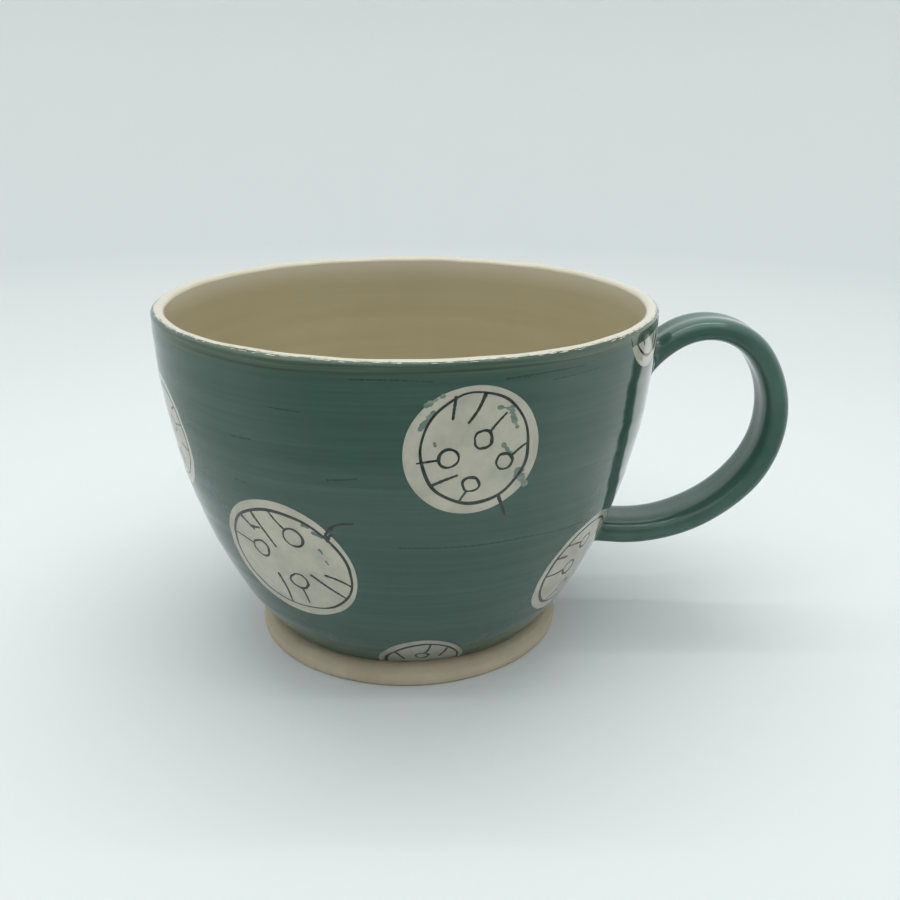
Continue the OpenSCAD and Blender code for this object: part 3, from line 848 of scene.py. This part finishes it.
# ---------------------------------------------------------------------------
# Table, light and camera. A pale paper cove curves up all round the mug. Two
# long lamps hang over it, one behind and one in front, in a soft white room.
# ---------------------------------------------------------------------------
COVE_FLAT = 0.35
COVE_BEND = 0.18
COVE_TOP = 0.66
COVE_STEPS = 96
cove_line = [(0.0, 0.0), (0.1, 0.0), (COVE_FLAT, 0.0)]
cove_line += [(COVE_FLAT + COVE_BEND * math.sin(a), COVE_BEND * (1 - math.cos(a)))
              for a in np.linspace(0, math.pi / 2, 20)[1:]]
cove_line.append((COVE_FLAT + COVE_BEND, COVE_TOP))
# Matt white paper, painted a little greyer where it bends up off the table: painted shade low in the bend.
paper, tree, shader, place = new_material("pale_paper")
rise = climb(tree, height_of(tree, place), 0.0, 0.15)
tone = between_tones(tree, rise, 0.0, "#E6E7E7", 1.0, "#E1E2E2")
# Painted shade: a greyer stop low in the bend.
tone.color_ramp.elements.new(0.2).color = fired("#DADCDC")
tree.links.new(tone.outputs["Color"], shader.inputs["Base Color"])
shader.inputs["Roughness"].default_value = 0.9
# The glaze mirrors the table close by. Farther out it mirrors the soft room through the paper.
apart = add_node(tree, "ShaderNodeVectorMath", {0: place}, operation="LENGTH")
far = climb(tree, apart.outputs["Value"], 0.08, 0.15, "SMOOTHSTEP")
mirrored = add_node(tree, "ShaderNodeLightPath").outputs["Is Glossy Ray"]
see_past = add_node(tree, "ShaderNodeMath", {0: far, 1: mirrored}, operation="MULTIPLY")
nothing = add_node(tree, "ShaderNodeBsdfTransparent")
cleared = add_node(tree, "ShaderNodeMixShader", {0: see_past.outputs["Value"], 1: shader.outputs["BSDF"],
                                                 2: nothing.outputs["BSDF"]})
tree.links.new(cleared.outputs["Shader"], tree.nodes["Material Output"].inputs["Surface"])

cove = bmesh.new()
spokes = [[cove.verts.new((radius * math.cos(a), radius * math.sin(a), height))
           for radius, height in cove_line]
          for a in np.linspace(0, 2 * math.pi, COVE_STEPS, endpoint=False)]
for here, there in zip(spokes, spokes[1:] + spokes[:1]):
    for k in range(len(here) - 1):
        cove.faces.new((here[k], here[k + 1], there[k + 1], there[k]))
bmesh.ops.remove_doubles(cove, verts=cove.verts[:], dist=1e-6)
mesh = bpy.data.meshes.new("paper_cove")
cove.to_mesh(mesh)
cove.free()
mesh.polygons.foreach_set("use_smooth", [True] * len(mesh.polygons))
mesh.materials.append(paper)
paper_cove = bpy.data.objects.new("paper_cove", mesh)
bpy.context.scene.collection.objects.link(paper_cove)

world = bpy.data.worlds.new("soft_room")
bpy.context.scene.world = world
world.use_nodes = True
tree = world.node_tree
looking = add_node(tree, "ShaderNodeTexCoord").outputs["Generated"]
toward = add_node(tree, "ShaderNodeSeparateXYZ", {"Vector": looking})
front = climb(tree, toward.outputs["Y"], -0.15, -0.8, "SMOOTHSTEP")
above = climb(tree, toward.outputs["Z"], -0.85, -0.55, "SMOOTHSTEP")
open_side = add_node(tree, "ShaderNodeMath", {0: front, 1: above}, operation="MULTIPLY").outputs["Value"]
sideways = climb(tree, toward.outputs["X"], -0.3, 0.6, "SMOOTHSTEP")
sides = mix_colours(tree, sideways, fired("#D3DCDB"), fired("#F0F6F5"))
walls = mix_colours(tree, open_side, sides, fired("#8E9696"))
overhead = climb(tree, toward.outputs["Z"], 0.25, 0.6, "SMOOTHSTEP")
room = mix_colours(tree, overhead, walls, fired("#EDF5F5"))
tree.links.new(room, tree.nodes["Background"].inputs["Color"])
tree.nodes["Background"].inputs["Strength"].default_value = 1.1


def hung_lamp(name, at, size, power):
    """A long soft lamp hanging over the table, facing straight down."""
    lamp = bpy.data.lights.new(name, "AREA")
    lamp.shape = "RECTANGLE"
    lamp.size, lamp.size_y = size
    lamp.energy = power
    lamp.color = fired("#F6FBFB")[:3]
    panel = bpy.data.objects.new(name, lamp)
    panel.location = at
    bpy.context.scene.collection.objects.link(panel)


hung_lamp("rear_lamp", (0.0, 0.07, 0.42), (0.5, 0.012), 0.374)
hung_lamp("front_lamp", (0.0, -0.15, 0.42), (0.5, 0.012), 0.254)
hung_lamp("broad_lamp", (0.0, 0.10, 0.75), (0.8, 0.6), 1.0)

VIEW_DISTANCE = 0.2406
VIEW_HEIGHT = 0.1341
VIEW_ROUND = math.radians(1.5)
VIEW_AIM = math.radians(1.04)
VIEW_DOWN = math.radians(20.29)
VIEW_ROLL = math.radians(0.45)
ahead = Vector((math.sin(VIEW_AIM) * math.cos(VIEW_DOWN), math.cos(VIEW_AIM) * math.cos(VIEW_DOWN),
                -math.sin(VIEW_DOWN)))
right = Vector((math.cos(VIEW_AIM), -math.sin(VIEW_AIM), 0))
top = right.cross(ahead)
right_rolled = math.cos(VIEW_ROLL) * right + math.sin(VIEW_ROLL) * top
top_rolled = math.cos(VIEW_ROLL) * top - math.sin(VIEW_ROLL) * right
lens = bpy.data.cameras.new("camera")
lens.sensor_width = 36
lens.lens = 40
lens.clip_start = 0.01
camera = bpy.data.objects.new("camera", lens)
bpy.context.scene.collection.objects.link(camera)
turned_to = Matrix((right_rolled, top_rolled, -ahead)).transposed().to_4x4()
stands_at = Vector((VIEW_DISTANCE * math.sin(VIEW_ROUND), -VIEW_DISTANCE * math.cos(VIEW_ROUND), VIEW_HEIGHT))
camera.matrix_world = Matrix.Translation(stands_at) @ turned_to
bpy.context.scene.camera = camera
bpy.context.scene.view_settings.view_transform = "Standard"
